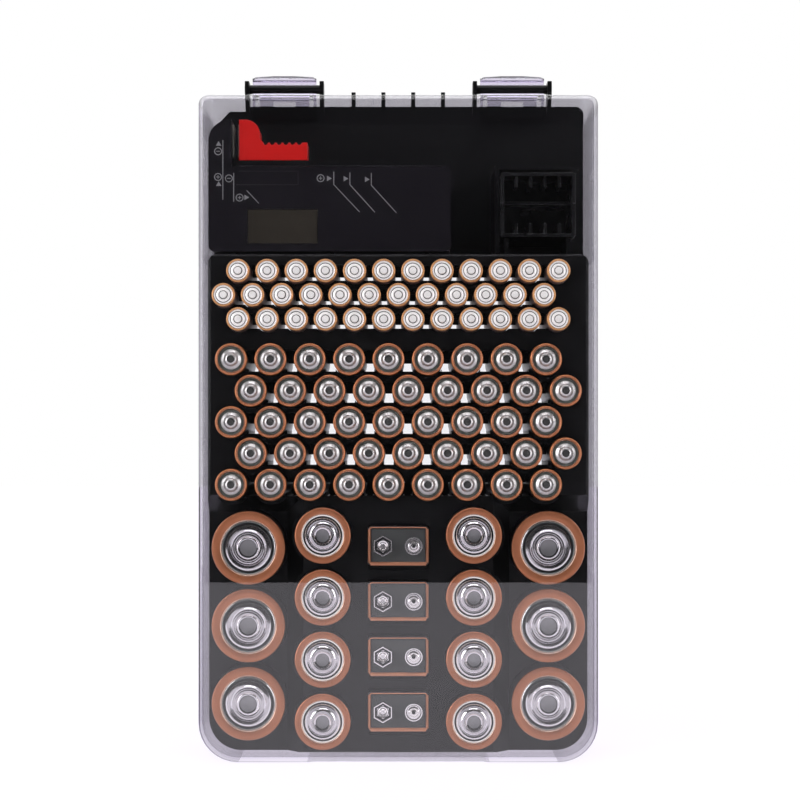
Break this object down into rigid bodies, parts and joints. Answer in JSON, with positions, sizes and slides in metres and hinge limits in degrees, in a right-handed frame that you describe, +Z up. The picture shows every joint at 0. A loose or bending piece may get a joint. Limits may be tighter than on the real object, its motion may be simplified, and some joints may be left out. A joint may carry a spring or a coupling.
{
  "type": "battery storage case",
  "caption": "Upright storage case with a clear hinged lid over a black tray of pockets full of dry cells, a cell tester with a sliding arm and a coin cell rack.",
  "frame": {"origin": "middle of the case's footprint, on the surface that it stands on", "axes": "+Z up along the case's height, -Y out of the lid's front face, +X to the viewer's right"},
  "size_m": [0.1814, 0.066, 0.3241],
  "materials": {
    "tray_black": "black injection-moulded plastic, satin",
    "lid_clear": "clear polished plastic",
    "cell_jacket": "copper-coloured shoulder over a black sleeve, bright cap",
    "square_cell_jacket": "copper-coloured rim, dark top plate and bright snaps",
    "tester_black": "fine-textured black plastic",
    "slider_red": "red moulded plastic",
    "contact_metal": "plated spring steel",
    "display_window": "greenish grey display window",
    "display_module": "display glass",
    "board_green": "laminated board",
    "screw_steel": "zinc plated",
    "rack_black": "black moulded plastic"
  },
  "bodies": {
    "case": {"tray_panel": "tray_black", "tray_flange_sides": "tray_black", "tray_flange_seats": "tray_black", "tray_flange_bars": "tray_black", "tray_hinges": "tray_black", "tray_bay_floor": "tray_black", "tray_bay_ribs": "tray_black", "tray_aaa_row_1": "tray_black", "tray_aaa_row_2": "tray_black", "tray_aaa_row_3": "tray_black", "tray_aa_row_1": "tray_black", "tray_aa_row_2": "tray_black", "tray_aa_row_3": "tray_black", "tray_aa_row_4": "tray_black", "tray_aa_row_5": "tray_black", "tray_c_column_left": "tray_black", "tray_c_column_right": "tray_black", "tray_d_column_left": "tray_black", "tray_d_column_right": "tray_black", "tray_square_column": "tray_black", "aaa_cells_row_1": "cell_jacket", "aaa_cells_row_2": "cell_jacket", "aaa_cells_row_3": "cell_jacket", "aa_cells_row_1": "cell_jacket", "aa_cells_row_2": "cell_jacket", "aa_cells_row_3": "cell_jacket", "aa_cells_row_4": "cell_jacket", "aa_cells_row_5": "cell_jacket", "c_cell_1": "cell_jacket", "c_cell_2": "cell_jacket", "c_cell_3": "cell_jacket", "c_cell_4": "cell_jacket", "c_cell_5": "cell_jacket", "c_cell_6": "cell_jacket", "c_cell_7": "cell_jacket", "c_cell_8": "cell_jacket", "d_cell_1": "cell_jacket", "d_cell_2": "cell_jacket", "d_cell_3": "cell_jacket", "d_cell_4": "cell_jacket", "d_cell_5": "cell_jacket", "d_cell_6": "cell_jacket", "nine_volt_cell_1": "square_cell_jacket", "nine_volt_cell_2": "square_cell_jacket", "nine_volt_cell_3": "square_cell_jacket", "nine_volt_cell_4": "square_cell_jacket", "tester_front_shell": "tester_black", "tester_rear_shell": "tester_black", "fixed_contact": "contact_metal", "side_contact_minus": "contact_metal", "side_contact_plus": "contact_metal", "lcd_window": "display_window", "lcd_module": "display_module", "circuit_board": "board_green", "tester_screws": "screw_steel", "coin_cell_rack": "rack_black"},
    "lid": {"lid": "lid_clear"},
    "slider": {"tester_slider": "slider_red", "slider_contact": "contact_metal"}
  },
  "joints": [
    {"name": "lid_hinge", "type": "hinge", "parent": "case", "child": "lid", "pos_m": [0, 0.0275, 0.31778], "axis": [-1, 0, 0], "range_deg": [0, 110]},
    {"name": "slider_slide", "type": "slide", "parent": "case", "child": "slider", "axis": [1, 0, 0], "range_m": [0, 0.062]}
  ]
}
